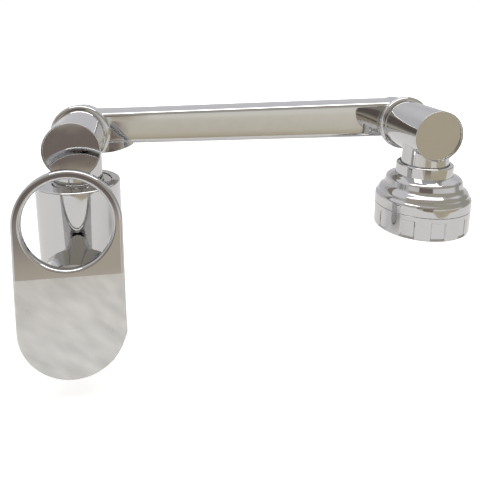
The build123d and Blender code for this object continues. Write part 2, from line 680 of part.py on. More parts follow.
with BuildPart() as cartridge_port_seals:
    with BuildSketch(facing(0, CART_REAR, CART_Z)):
        for spot in port_spots:
            with Locations(spot):
                Circle(PORT_R + 1.25)
                Circle(PORT_R, mode=Mode.SUBTRACT)
    extrude(amount=1.0)
save(cartridge_port_seals, "cartridge_port_seals")

with BuildPart() as cartridge_housing:
    with BuildSketch(plane_hub(0, CART_Z)):
        outline(band(housing_inner_r, CART_R, housing_front, CART_BASE_FRONT))
        outline(band(housing_inner_r, NUT_R - FACE_GAP, nut_rear, pocket_rear))
    revolve(axis=CART_AXIS)
save(cartridge_housing, "cartridge_housing")

with BuildPart() as fixed_disc:
    with BuildSketch(facing(0, CART_BASE_FRONT, CART_Z)):
        Circle(DISC_R)
        for spot in port_spots:
            with Locations(spot):
                Circle(PORT_R, mode=Mode.SUBTRACT)
    extrude(amount=FIXED_DISC_T)
save(fixed_disc, "fixed_disc")

with BuildPart() as moving_disc:
    with BuildSketch(facing(0, fixed_front - RUN_FIT, CART_Z)):
        Circle(MOVING_R)
    extrude(amount=MOVING_DISC_T - RUN_FIT)
    with BuildSketch(facing(0, fixed_front - RUN_FIT, CART_Z)):
        with Locations((0, 1.0)):
            Ellipse(3.6, 2.4)
    extrude(amount=MOVING_DISC_T / 2, mode=Mode.SUBTRACT)
save(moving_disc, "moving_disc")

tail_room = STEM_TAIL_R + 0.5
with BuildPart() as disc_carrier:
    with BuildSketch(facing(0, moving_front, CART_Z)):
        Circle(MOVING_R)
    extrude(amount=CARRIER_T)
    with BuildSketch(facing(0, carrier_front + 3.0, CART_Z)):
        Circle(tail_room)
    extrude(amount=3.0, mode=Mode.SUBTRACT)
save(disc_carrier, "disc_carrier")

slot_w = 2 * PIVOT_R + LOOSE
with BuildPart() as cartridge_rotor:
    with BuildSketch(facing(0, rotor_rear, CART_Z)):
        Circle(housing_inner_r - RUN_FIT)
    extrude(amount=rotor_rear - nut_front)
    with BuildSketch(facing(0, rotor_rear, CART_Z)):
        Rectangle(slot_w, 2 * (housing_inner_r - HOUSING_WALL - 1.0))
    extrude(amount=rotor_rear - nut_front, mode=Mode.SUBTRACT)
    with BuildSketch(Plane(origin=(-housing_inner_r, PIVOT_Y, CART_Z), x_dir=Y_DIR, z_dir=X_DIR)):
        Circle(PIN_R + SEAT_FIT)
    extrude(amount=2 * housing_inner_r, mode=Mode.SUBTRACT)
save(cartridge_rotor, "cartridge_rotor")

with BuildPart() as stem_pin:
    with BuildSketch(Plane(origin=(1 - housing_inner_r, PIVOT_Y, CART_Z), x_dir=Y_DIR, z_dir=X_DIR)):
        Circle(PIN_R)
    extrude(amount=2 * housing_inner_r - 2)
save(stem_pin, "stem_pin")

# Lever geometry: fold line, ring centre and tongue centre
tongue_down = (FOLD_Z - CART_Z) / cos(radians(TONGUE_FLARE))
tongue_front = FOLD_Y - tongue_down * sin(radians(TONGUE_FLARE))
socket_end = tongue_front + 2.0
stem_tip = socket_end + FACE_GAP
with BuildPart() as cartridge_stem:
    with BuildSketch(facing(0, PIVOT_Y, CART_Z)):
        Rectangle(STEM_SIDE, STEM_SIDE)
    extrude(amount=PIVOT_Y - stem_tip)
    with BuildSketch(Plane(origin=(-PIVOT_R, PIVOT_Y, CART_Z), x_dir=Y_DIR, z_dir=X_DIR)):
        Circle(PIVOT_R)
    extrude(amount=2 * PIVOT_R)
    with BuildSketch(facing(0, PIVOT_Y + STEM_REAR, CART_Z)):
        Circle(STEM_TAIL_R)
    extrude(amount=STEM_REAR)
    with BuildSketch(Plane(origin=(-PIVOT_R, PIVOT_Y, CART_Z), x_dir=Y_DIR, z_dir=X_DIR)):
        Circle(PIN_R + RUN_FIT)
    extrude(amount=2 * PIVOT_R, mode=Mode.SUBTRACT)
save(cartridge_stem, "cartridge_stem")

with BuildPart() as cartridge_nut:
    with BuildSketch(plane_hub(0, CART_Z)):
        outline(band(CART_R + FACE_GAP, NUT_R, nut_front, nut_rear))
    revolve(axis=CART_AXIS)
save(cartridge_nut, "cartridge_nut")

dome_front = BOSS_FRONT - DOME_T
with BuildPart() as cartridge_dome:
    with BuildSketch(plane_hub(0, CART_Z)):
        outline([(DOME_OPENING_R, dome_front), (DOME_R - 1.4, dome_front), (DOME_R, dome_front + 1.2),
                 (DOME_R, BOSS_FRONT), (NUT_R, BOSS_FRONT), (NUT_R, nut_front), (NUT_R - 1.6, nut_front),
                 (NUT_R - 1.6, BOSS_FRONT - 0.4), (DOME_OPENING_R, BOSS_FRONT - 0.4)])
    revolve(axis=CART_AXIS)
save(cartridge_dome, "cartridge_dome")

# Lever: a plate folded once, ring half leaning back, tongue half flaring forward
lean = radians(RING_LEAN)
flare = radians(TONGUE_FLARE)
ring_z = FOLD_Z + RING_UP * cos(lean)
strip_up = RING_UP + PLATE_W
strip_down = FOLD_Z - TONGUE_END_Z + PLATE_W
bend = radians((RING_LEAN + TONGUE_FLARE) / 2)
fold_back = (FOLD_Y + PLATE_T * cos(bend), FOLD_Z - PLATE_T * sin(bend))
front_top = (FOLD_Y + strip_up * sin(lean), FOLD_Z + strip_up * cos(lean))
front_foot = (FOLD_Y - strip_down * sin(flare), FOLD_Z - strip_down * cos(flare))
back_top = (front_top[0] + PLATE_T * cos(lean), front_top[1] - PLATE_T * sin(lean))
back_foot = (front_foot[0] + PLATE_T * cos(flare), front_foot[1] - PLATE_T * sin(flare))
with BuildPart() as lever:
    with BuildSketch(Plane.YZ.offset(-PLATE_W / 2)):
        outline([front_top, (FOLD_Y, FOLD_Z), front_foot, back_foot, fold_back, back_top])
    extrude(amount=PLATE_W)
    with BuildSketch(facing(0, FOLD_Y, 0)):
        with Locations((0, ring_z), (0, TONGUE_END_Z)):
            Circle(PLATE_W / 2)
        with Locations((0, (ring_z + TONGUE_END_Z) / 2)):
            Rectangle(PLATE_W, ring_z - TONGUE_END_Z)
        with Locations((0, ring_z)):
            Circle(HOLE_R, mode=Mode.SUBTRACT)
    extrude(amount=strip_down, both=True, mode=Mode.INTERSECT)
    plate_faces = lever.faces().filter_by(lambda face: abs(face.normal_at().Y) > 0.9)
    fillet(plate_faces.edges().filter_by(Axis.X, reverse=True), PLATE_EDGE)
    with BuildSketch(facing(0, LEVER_HUB_FRONT, CART_Z)):
        Circle(LEVER_HUB_R)
    extrude(amount=LEVER_HUB_FRONT - tongue_front - PLATE_T / 2)
    with BuildSketch(facing(0, LEVER_HUB_FRONT, CART_Z)):
        Rectangle(STEM_SIDE + 2 * RUN_FIT, STEM_SIDE + 2 * RUN_FIT)
    extrude(amount=LEVER_HUB_FRONT - socket_end, mode=Mode.SUBTRACT)
    screw_y = LEVER_HUB_FRONT - SCREW_R - 0.8
    with BuildSketch(Plane(origin=(0, screw_y, CART_Z - LEVER_HUB_R - 1), x_dir=X_DIR, z_dir=Z_DIR)):
        Circle(SCREW_R + SEAT_FIT)
    extrude(amount=LEVER_HUB_R, mode=Mode.SUBTRACT)
save(lever, "lever")

screw_top = CART_Z - STEM_SIDE / 2 - RUN_FIT
with BuildPart() as lever_screw:
    with BuildSketch(Plane(origin=(0, screw_y, screw_top - SCREW_LEN), x_dir=X_DIR, z_dir=Z_DIR)):
        Circle(SCREW_R)
    extrude(amount=SCREW_LEN)
    with BuildSketch(Plane(origin=(0, screw_y, screw_top - SCREW_LEN), x_dir=X_DIR, z_dir=Z_DIR)):
        RegularPolygon(SCREW_R / 2, 6)
    extrude(amount=SCREW_LEN / 2, mode=Mode.SUBTRACT)
save(lever_screw, "lever_screw")
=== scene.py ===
# %% [markdown]
# A basin mixer tap, polished chrome over brass, with a ring lever and a spout that folds at two
# hubs. The CAD model gives every dimension and every joint, so this script only brings the looks:
# a camera, soft light, the finishes of the real metals and plastics, and finer versions of the
# pieces whose edges catch the light. Everything is in metres and stays where the CAD puts it.

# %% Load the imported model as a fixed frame
import json
from math import atan2, degrees, pi, radians, sqrt
import bmesh
import bpy
from mathutils import Matrix, Vector


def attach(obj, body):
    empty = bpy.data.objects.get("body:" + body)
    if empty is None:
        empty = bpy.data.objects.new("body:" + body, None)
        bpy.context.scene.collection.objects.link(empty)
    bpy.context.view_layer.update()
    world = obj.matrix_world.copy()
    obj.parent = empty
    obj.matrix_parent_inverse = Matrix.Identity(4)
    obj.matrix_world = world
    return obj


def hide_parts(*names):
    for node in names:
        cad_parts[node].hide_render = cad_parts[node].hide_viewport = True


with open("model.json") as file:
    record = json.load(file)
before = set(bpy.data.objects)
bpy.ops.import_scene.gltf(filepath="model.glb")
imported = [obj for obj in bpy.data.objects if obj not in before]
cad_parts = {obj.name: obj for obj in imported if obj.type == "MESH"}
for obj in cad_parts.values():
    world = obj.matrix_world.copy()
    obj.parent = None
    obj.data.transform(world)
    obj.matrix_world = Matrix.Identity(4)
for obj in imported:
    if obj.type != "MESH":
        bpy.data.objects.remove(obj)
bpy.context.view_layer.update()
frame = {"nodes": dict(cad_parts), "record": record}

scene = bpy.context.scene

# %% [markdown]
# Colours are given as sRGB hex values, while the renderer adds up light in linear values. One
# function turns the first into the second, so that no colour is worked out by hand. A second small
# function adds any node to a tree: its settings go on the node, and its inputs get either a value
# or a link from another node's output.


# %% Colour and node helpers
def linear(hex_colour):
    channels = []
    for start in (1, 3, 5):
        value = int(hex_colour[start:start + 2], 16) / 255
        channels.append(value / 12.92 if value <= 0.04045 else ((value + 0.055) / 1.055) ** 2.4)
    return (*channels, 1.0)


def add(tree, kind, wires=None, **settings):
    made = tree.nodes.new(kind)
    for name, value in settings.items():
        setattr(made, name, value)
    for socket, value in (wires or {}).items():
        if isinstance(value, bpy.types.NodeSocket):
            tree.links.new(value, made.inputs[socket])
        else:
            made.inputs[socket].default_value = value
    return made


print("mid grey is", linear("#808080")[:3])

# %% [markdown]
# The camera stands a forearm's length in front of the tap, a little to its right and above the
# spout, looking down by twelve degrees. These numbers come from fitting a pinhole camera to the
# ellipses of the two hub caps, the collar, the ring and the lever's hole. The lens axis doesn't
# meet the middle of the picture, so the lens is shifted down instead of tilting the camera
# further, which keeps the uprights nearly parallel as they are in the photograph.

# %% Camera
PHOTO_SIZE = 480
SENSOR_MM = 36.0
FOCAL_PIXELS = 507.43
LENS_AXIS_PIXEL = (228.42, 130)
CAMERA_PLACE = (0.0397, -0.28108, 0.18572)
DOWNWARD_TILT = 12.31
TURN_TO_RIGHT = 9.18
camera_data = bpy.data.cameras.new("photo_camera")
camera_data.sensor_fit = "AUTO"
camera_data.sensor_width = SENSOR_MM
camera_data.lens = SENSOR_MM * FOCAL_PIXELS / PHOTO_SIZE
camera_data.shift_x = (PHOTO_SIZE / 2 - LENS_AXIS_PIXEL[0]) / PHOTO_SIZE
camera_data.shift_y = (LENS_AXIS_PIXEL[1] - PHOTO_SIZE / 2) / PHOTO_SIZE
camera = bpy.data.objects.new("photo_camera", camera_data)
camera.location = CAMERA_PLACE
camera.rotation_euler = (radians(90 - DOWNWARD_TILT), 0, radians(-TURN_TO_RIGHT))
scene.collection.objects.link(camera)
scene.camera = camera
scene.view_settings.view_transform = "Standard"
print("lens", round(camera_data.lens, 2), "mm")

# %% [markdown]
# Chrome has no colour of its own: what the eye reads as chrome is the room in it. Its reflections
# suggest a white sheet under the tap, a pale room above it, and olive and dark brown behind the
# camera. The sheet is a plane that ends about 0.3 m in front of the tap, below the camera. A second
# plane carries the same pale floor on beyond that edge but isn't mirrored in the metal, so that the
# floor looks endless in every view.

# %% Where the mirrored sheet ends
SHEET_EDGE = -0.315
SHEET_SLANT = 17.0
SHEET_PIVOT = (-0.035, SHEET_EDGE, 0)
FLOOR_REACH = 4
print("sheet edge at y", SHEET_EDGE, "slanted by", SHEET_SLANT)

# %% [markdown]
# The paper is matt with a faint clouding. Its far part would turn grey towards the horizon, so for
# rays straight from the camera it also gives off white, more of it with distance from the tap. The
# metal doesn't mirror that extra light.

# %% Matt white paper
GLOW_NEAR, GLOW_FAR = 0.35, 0.8
GLOW_LOW, GLOW_HIGH = 0.5, 1.2
paper = bpy.data.materials.new("matt_white_paper")
paper.use_nodes = True
tree = paper.node_tree
place = add(tree, "ShaderNodeTexCoord")
clouding = add(tree, "ShaderNodeTexNoise",
               {"Vector": place.outputs["Object"], "Scale": 9.0, "Detail": 3.0})
tint = add(tree, "ShaderNodeMix",
           {"Factor": clouding.outputs["Fac"], 6: linear("#EAEAE9"), 7: linear("#F0F0EF")},
           data_type="RGBA")
matt = tree.nodes["Principled BSDF"]
tree.links.new(tint.outputs[2], matt.inputs["Base Color"])
matt.inputs["Roughness"].default_value = 0.9
matt.inputs["Specular IOR Level"].default_value = 0.2
away = add(tree, "ShaderNodeVectorMath", {0: place.outputs["Object"]}, operation="LENGTH")
glow = add(tree, "ShaderNodeMapRange",
           {"Value": away.outputs["Value"], "From Min": GLOW_NEAR, "From Max": GLOW_FAR,
            "To Min": GLOW_LOW, "To Max": GLOW_HIGH}, interpolation_type="SMOOTHSTEP")
straight = add(tree, "ShaderNodeLightPath").outputs["Is Camera Ray"]
shown = add(tree, "ShaderNodeMath", {0: glow.outputs["Result"], 1: straight}, operation="MULTIPLY")
lifted = add(tree, "ShaderNodeEmission",
             {"Color": linear("#FFFFFF"), "Strength": shown.outputs[0]})
both = add(tree, "ShaderNodeAddShader", {0: matt.outputs[0], 1: lifted.outputs[0]})
tree.links.new(both.outputs[0], tree.nodes["Material Output"].inputs["Surface"])
print(paper.name)


# %% [markdown]
# Each half of the floor is one square of a grid, stretched to its size and turned about the same
# upright axis, so that the two halves meet along the slanted edge. One plane would be simpler, but
# whether the metal mirrors a thing is set for the whole object.


# %% Pale floor
def flat_sheet(name, y_from, y_to):
    mesh = bpy.data.meshes.new(name)
    shape = bmesh.new()
    bmesh.ops.create_grid(shape, x_segments=1, y_segments=1, size=0.5)
    bmesh.ops.scale(shape, vec=(2 * FLOOR_REACH, y_to - y_from, 1), verts=shape.verts)
    bmesh.ops.translate(shape, vec=(0, (y_from + y_to) / 2, 0), verts=shape.verts)
    bmesh.ops.rotate(shape, cent=SHEET_PIVOT, matrix=Matrix.Rotation(radians(SHEET_SLANT), 3, "Z"),
                     verts=shape.verts)
    shape.to_mesh(mesh)
    shape.free()
    mesh.materials.append(paper)
    sheet = bpy.data.objects.new(name, mesh)
    scene.collection.objects.link(sheet)
    return sheet


flat_sheet("floor_back", SHEET_EDGE, FLOOR_REACH)
flat_sheet("floor_front", -FLOOR_REACH, SHEET_EDGE).visible_glossy = False
print("floor reaches", FLOOR_REACH, "m")

# %% [markdown]
# The room is drawn in the world's background. It is pale all round, with a faint lilac overhead.
# On the side behind the camera it has soft-edged patches, given by compass angle and height above
# the horizon. First a direction is turned into those two angles.

# %% Bearing and height of a direction
world = bpy.data.worlds.new("pale_room")
scene.world = world
world.use_nodes = True
tree = world.node_tree
tree.nodes.clear()
looking = add(tree, "ShaderNodeTexCoord").outputs["Generated"]
direction = add(tree, "ShaderNodeSeparateXYZ", {0: looking})
toward = add(tree, "ShaderNodeMath", {0: direction.outputs["Y"], 1: -1.0}, operation="MULTIPLY")
bearing = add(tree, "ShaderNodeMath", {0: direction.outputs["X"], 1: toward.outputs[0]},
              operation="ARCTAN2").outputs[0]
height = add(tree, "ShaderNodeMath", {0: direction.outputs["Z"]}, operation="ARCSINE").outputs[0]
print("world nodes", len(tree.nodes))


# %% [markdown]
# Each patch is a soft window over what lies under it: two smooth steps in bearing and two in
# height, multiplied together. All angles are in degrees, from low to high, and soft is half the
# width of each step.


# %% One soft patch
def patch(under, colour, bearings, heights, soft):
    mask = 1.0
    for angle, (low, high) in ((bearing, bearings), (height, heights)):
        for outside, inside in ((low - soft, low + soft), (high + soft, high - soft)):
            edge = add(tree, "ShaderNodeMapRange",
                       {"Value": angle, "From Min": radians(outside), "From Max": radians(inside)},
                       interpolation_type="SMOOTHSTEP").outputs["Result"]
            mask = add(tree, "ShaderNodeMath", {0: mask, 1: edge}, operation="MULTIPLY").outputs[0]
    return add(tree, "ShaderNodeMix", {"Factor": mask, 6: under, 7: colour},
               data_type="RGBA").outputs[2]


# %% [markdown]
# Under the patches lies a colour ramp from the floor's white to the faint lilac of the ceiling.
# Each patch is laid over the ones before it, so the large pale ones come first in the list and the
# small dark shapes come last.

# %% Pale room with its patches
PATCHES = [
    ("back of the room, right half", "#DADADE", (122, 200), (-1, 30), 9.0),
    ("back of the room, left half", "#DADADE", (-200, -122), (-1, 30), 9.0),
    ("ceiling over the camera", "#BDB8AC", (-75, 85), (8, 58), 8.0),
    ("olive haze on the room side", "#FAF7ED", (-62, 80), (-40, -4.5), 3.0),
    ("olive wall", "#E9E4D5", (-60, 75), (-40, -10.2), 1.8),
    ("olive wall low", "#D9D1BB", (-60, 75), (-40, -12.8), 1.6),
    ("olive floor", "#CBC1AB", (-60, 75), (-40, -15.6), 1.4),
    ("olive wall to the right", "#D0C5AE", (26, 72), (-34, -5), 3.5),
    ("grey wall far right", "#B2B2A8", (72, 116), (-14, 32), 8.0),
    ("grey wall far left", "#CBCBC8", (-112, -72), (-14, 28), 7.0),
    ("taupe floor under the lever", "#D1C6B5", (-28, -1), (-10.5, -2), 2.0),
    ("brown side of it", "#A9A297", (-40, -11), (-7, 2), 2.0),
    ("dark brown shape", "#8A7E78", (-26, -3), (-16, -11), 1.0),
    ("dark brown shape above", "#857B76", (-40, -1), (-3, 16), 1.6),
]
rise = add(tree, "ShaderNodeMapRange", {"Value": height, "From Min": -0.4, "From Max": 1.2})
room = add(tree, "ShaderNodeValToRGB", {"Fac": rise.outputs["Result"]})
room.color_ramp.elements[0].color = linear("#F6F4F5")
room.color_ramp.elements[1].color = linear("#F1F0F5")
shade = room.outputs["Color"]
for name, colour, bearings, heights, soft in PATCHES:
    shade = patch(shade, linear(colour), bearings, heights, soft)
    print("patch", name, bearings, heights)

# %% [markdown]
# The metal mirrors this room, but rays straight from the camera see plain white, as in a studio.
# The kind of ray chooses between two backgrounds, so one world serves both.

# %% What the metal mirrors and what the camera sees
MIRRORED_STRENGTH = 0.95
SEEN_STRENGTH = 1.05
mirrored = add(tree, "ShaderNodeBackground", {"Color": shade, "Strength": MIRRORED_STRENGTH})
seen = add(tree, "ShaderNodeBackground", {"Color": linear("#FFFFFF"), "Strength": SEEN_STRENGTH})
straight = add(tree, "ShaderNodeLightPath").outputs["Is Camera Ray"]
choice = add(tree, "ShaderNodeMixShader",
             {0: straight, 1: mirrored.outputs[0], 2: seen.outputs[0]})
add(tree, "ShaderNodeOutputWorld", {"Surface": choice.outputs[0]})
print("world nodes", len(tree.nodes))

# %% [markdown]
# Three soft boxes light the set. The overhead one is what the tap's upper edges catch as white
# lines, so it is long in the spout's direction and not very deep, and it alone is mirrored. The
# left box brightens the left flank of the body, and a weak one from the right keeps the spray head
# from going dull.


# %% Soft boxes
def soft_box(name, at, aim, size, watts, mirrored):
    data = bpy.data.lights.new(name, "AREA")
    data.shape = "RECTANGLE"
    data.size, data.size_y = size
    data.energy = watts
    lamp = bpy.data.objects.new(name, data)
    lamp.location = at
    lamp.rotation_euler = (Vector(aim) - Vector(at)).to_track_quat("-Z", "Y").to_euler()
    lamp.visible_camera = False
    lamp.visible_glossy = mirrored
    scene.collection.objects.link(lamp)
    print(name, "radiance", round(watts / (size[0] * size[1] * pi), 2))


soft_box("overhead_box", (0.10, -0.25, 1.3), (0.10, 0, 0), (1.5, 0.4), 7.4, True)
soft_box("left_box", (-1.3, 0.3, 0.7), (0, 0, 0.05), (0.8, 0.8), 3.4, False)
soft_box("right_box", (1.5, -0.5, 0.8), (0.15, 0, 0.05), (0.6, 0.6), 1.5, False)


# %% [markdown]
# Every material on the tap starts the same way: a new one with its nodes switched on, handed back
# together with its tree and its shader. A function does it, so that no material misses a step.


# %% Start of a material
def fresh_material(name):
    material = bpy.data.materials.new(name)
    material.use_nodes = True
    return material, material.node_tree, material.node_tree.nodes["Principled BSDF"]


print("materials so far", len(bpy.data.materials))

# %% [markdown]
# Bright chromium plating over polished brass: a mirror with a near neutral grey reflectance of a
# little over one half. Plating levels itself, but the casting below it is never perfectly flat,
# so reflections ripple slowly over about 12 mm, by a tenth of a millimetre in the bump. A wiped
# tap also has a thin haze, whose strength changes over about 9 mm and which dulls the mirror a
# little where it is thick. The eye reads a sharp mirror that isn't quite perfect.

# %% Chrome plating
PLATING = "#C6C6C7"
HAZE_MM = 9
RIPPLE_MM = 12
RIPPLE_DEPTH_MM = 0.1
polished_chrome, tree, shader = fresh_material("polished_chrome_plating")
shader.inputs["Metallic"].default_value = 1.0
place = add(tree, "ShaderNodeTexCoord").outputs["Object"]
haze = add(tree, "ShaderNodeTexNoise",
           {"Vector": place, "Scale": 1000 / HAZE_MM, "Detail": 3.0,
            "Roughness": 0.6}).outputs["Fac"]
rough = add(tree, "ShaderNodeMapRange",
            {"Value": haze, "From Min": 0.3, "From Max": 0.75, "To Min": 0.03, "To Max": 0.075})
tree.links.new(rough.outputs["Result"], shader.inputs["Roughness"])
film = add(tree, "ShaderNodeMix", {"Factor": haze, 6: linear(PLATING), 7: linear("#CDCCCB")},
           data_type="RGBA")
tree.links.new(film.outputs[2], shader.inputs["Base Color"])
wave = add(tree, "ShaderNodeTexNoise", {"Vector": place, "Scale": 1000 / RIPPLE_MM, "Detail": 1.0})
bump = add(tree, "ShaderNodeBump", {"Height": wave.outputs["Fac"], "Strength": 0.35,
                                    "Distance": RIPPLE_DEPTH_MM / 1000})
tree.links.new(bump.outputs["Normal"], shader.inputs["Normal"])
print(polished_chrome.name)

# %% [markdown]
# The lever is one plated casting, but only its ring is kept bright. The tongue is where the thumb
# goes, so its plating carries a film of smudges: it mirrors nothing sharply, and cloudy streaks
# about 14 mm long and 5 mm wide run slantwise down it. The change comes at the fold, so the lever's
# own material blends from one finish to the other by height, over less than a millimetre. A
# Mapping node of the texture kind turns before it stretches, which is what slants the streaks.

# %% Lever finish, bright ring and smudged tongue
FOLD_HEIGHT = 0.0653
FOLD_BLEND = 0.0004
STREAK_MM = 14
STREAK_SLANT = 42
STREAK_SLIMNESS = 0.38
lever_chrome, tree, shader = fresh_material("chrome_plating_thumb_smudged")
shader.inputs["Metallic"].default_value = 1.0
place = add(tree, "ShaderNodeTexCoord").outputs["Object"]
level = add(tree, "ShaderNodeSeparateXYZ", {0: place}).outputs["Z"]
smudged = add(tree, "ShaderNodeMapRange",
              {"Value": level, "From Min": FOLD_HEIGHT + FOLD_BLEND,
               "From Max": FOLD_HEIGHT - FOLD_BLEND}).outputs["Result"]
slant = add(tree, "ShaderNodeMapping",
            {"Vector": place, "Rotation": (0, radians(STREAK_SLANT), 0),
             "Scale": (1.0, 1.0, STREAK_SLIMNESS)}, vector_type="TEXTURE").outputs["Vector"]
streaks = add(tree, "ShaderNodeTexNoise", {"Vector": slant, "Scale": 1000 / STREAK_MM,
                                          "Detail": 1.4, "Roughness": 0.5}).outputs["Fac"]
film = add(tree, "ShaderNodeMapRange",
           {"Value": streaks, "From Min": 0.08, "From Max": 0.92}).outputs["Result"]
film_tone = add(tree, "ShaderNodeMix", {"Factor": film, 6: linear("#BDBCB9"), 7: linear("#E2E1DE")},
                data_type="RGBA").outputs[2]
tone = add(tree, "ShaderNodeMix", {"Factor": smudged, 6: linear(PLATING), 7: film_tone},
           data_type="RGBA")
tree.links.new(tone.outputs[2], shader.inputs["Base Color"])
film_rough = add(tree, "ShaderNodeMapRange",
                 {"Value": film, "To Min": 0.26, "To Max": 0.32}).outputs["Result"]
rough = add(tree, "ShaderNodeMix", {"Factor": smudged, 2: 0.045, 3: film_rough})
tree.links.new(rough.outputs[0], shader.inputs["Roughness"])
print("finish changes at", FOLD_HEIGHT)

# %% [markdown]
# The other finishes are on pieces that hardly show, but each is still its own material: black EPDM
# rubber for the gasket and seals, natural acetal for the moulded parts, alumina for the two discs,
# turned brass for the cartridge nut, stainless steel for pins, clips and strainers, and a grey
# moulded plastic for the spray face. They share one recipe, a grain of real size that moves the
# colour, the roughness and, where the surface is rough enough, the bump.


# %% Grained material
def grained(name, dark, light, grain_mm, roughness, bump_mm=0.0, metallic=0.0, stretch=(1, 1, 1)):
    material, tree, shader = fresh_material(name)
    shader.inputs["Metallic"].default_value = metallic
    place = add(tree, "ShaderNodeTexCoord").outputs["Object"]
    turned = add(tree, "ShaderNodeMapping", {"Vector": place, "Scale": stretch}).outputs["Vector"]
    grain = add(tree, "ShaderNodeTexNoise",
                {"Vector": turned, "Scale": 1000 / grain_mm, "Detail": 4.0}).outputs["Fac"]
    tone = add(tree, "ShaderNodeMix", {"Factor": grain, 6: linear(dark), 7: linear(light)},
               data_type="RGBA")
    tree.links.new(tone.outputs[2], shader.inputs["Base Color"])
    rough = add(tree, "ShaderNodeMapRange",
                {"Value": grain, "To Min": roughness[0], "To Max": roughness[1]})
    tree.links.new(rough.outputs["Result"], shader.inputs["Roughness"])
    if bump_mm:
        bump = add(tree, "ShaderNodeBump",
                   {"Height": grain, "Strength": 0.6, "Distance": bump_mm / 1000})
        tree.links.new(bump.outputs["Normal"], shader.inputs["Normal"])
    return material


# %% Rubber, plastic, ceramic, brass and steel
# EPDM rubber, moulded: near black, matt, with a very fine sandy skin
epdm_rubber = grained("epdm_rubber", "#161616", "#242424", 0.5, (0.6, 0.8), 0.05)
# Acetal, injection moulded: milky white with a soft sheen
acetal = grained("moulded_acetal", "#CFCEC6", "#DDDCD5", 1.2, (0.32, 0.45), 0.02)
# Alumina ceramic, lapped: near white, tight grain, glossy and without relief
alumina = grained("lapped_alumina", "#DAD8D0", "#E9E8E2", 0.8, (0.12, 0.2))
# Brass, turned: yellow metal, its grain drawn out across the cartridge axis like tool marks
turned_brass = grained("turned_brass", "#A8843C", "#C9A757", 0.5, (0.22, 0.38), 0.01, 1.0,
                       (0.1, 1, 0.1))
# Stainless steel, drawn: grey metal with a satin surface
drawn_steel = grained("drawn_stainless_steel", "#8E8F91", "#A9AAAC", 0.6, (0.25, 0.4), 0.01, 1.0)
# Spray face, moulded in grey plastic with a fine spark-eroded texture
face_plastic = grained("moulded_grey_face", "#7C7E81", "#8D8F92", 0.7, (0.42, 0.55), 0.04)
SLOT_FINISH = {"rubber": epdm_rubber, "plastic": acetal, "ceramic": alumina, "brass": turned_brass,
               "steel": drawn_steel, "face_plastic": face_plastic, "chrome": polished_chrome}
print(len(SLOT_FINISH), "finishes")

# %% [markdown]
# The record says which slot each CAD node belongs to, so one loop finishes them all. Only the lever
# is an exception, because its one casting wears two finishes.

# %% Give every CAD node the finish of its slot
slot_of = {row["node"]: row["material_slot"] for row in frame["record"]["subparts"]}
for name, node in frame["nodes"].items():
    node.data.materials.clear()
    node.data.materials.append(lever_chrome if name == "lever" else SLOT_FINISH[slot_of[name]])
print("finished", len(frame["nodes"]), "CAD nodes")

# %% [markdown]
# The pieces whose edges catch the light are modelled again, finer than the CAD has them. A turned
# piece is half its section, drawn in millimetres as a wire, with each corner rounded by its own
# small radius, and spun once round its axis. A section is a list of corners, each with its radius.

# %% Sizes that the pieces share
MM = 0.001
DOUBLES = 1e-6
HUB_HEIGHT = 119.3
REACH = 206
HEAD_FORWARD = -5
CORNER_SEGMENTS = 7
SPIN_STEPS = 96
FINE_SPIN_STEPS = 120
print("reach", REACH, "mm, hubs at", HUB_HEIGHT, "mm")


# %% Draw a section and turn it
def wire_section(shape, corners, closed):
    verts = [shape.verts.new(Vector(place) * MM) for place, _ in corners]
    pairs = zip(verts, verts[1:] + verts[:1]) if closed else zip(verts, verts[1:])
    for pair in pairs:
        shape.edges.new(pair)
    for vert, (_, radius) in zip(verts, corners):
        if radius:
            bmesh.ops.bevel(shape, geom=[vert], offset=radius * MM, offset_type="OFFSET",
                            segments=CORNER_SEGMENTS, profile=0.5, affect="VERTICES", material=-1)


def turn(shape, centre, axis, steps):
    bmesh.ops.spin(shape, geom=shape.verts[:] + shape.edges[:], cent=Vector(centre) * MM, axis=axis,
                   angle=2 * pi, steps=steps, use_merge=True, use_duplicate=False)
    bmesh.ops.remove_doubles(shape, verts=shape.verts, dist=DOUBLES)


def turned_on_hub(section, across, closed):
    shape = bmesh.new()
    corners = [((across + r, y, HUB_HEIGHT), radius) for (r, y), radius in section]
    wire_section(shape, corners, closed)
    turn(shape, (across, 0, HUB_HEIGHT), (0, 1, 0), SPIN_STEPS)
    return shape


def turned_on_head(section, steps):
    shape = bmesh.new()
    corners = [((REACH + r, HEAD_FORWARD, z), radius) for (r, z), radius in section]
    wire_section(shape, corners, closed=True)
    turn(shape, (REACH, HEAD_FORWARD, 0), (0, 0, 1), steps)
    return shape


# %% [markdown]
# A finished shape is closed and pointed outwards, keeps only its real corners sharp, and is handed
# to the body that it moves with. The Weighted Normal modifier keeps flat faces truly flat beside
# their rounded edges, which is what stops a mirror disc from showing a false gradient.


# %% Keep a finished shape as a piece
SHARP_ANGLE = 32


def as_object(shape, name):
    bmesh.ops.remove_doubles(shape, verts=shape.verts, dist=DOUBLES)
    bmesh.ops.recalc_face_normals(shape, faces=shape.faces)
    mesh = bpy.data.meshes.new(name)
    shape.to_mesh(mesh)
    shape.free()
    made = bpy.data.objects.new(name, mesh)
    scene.collection.objects.link(made)
    return made


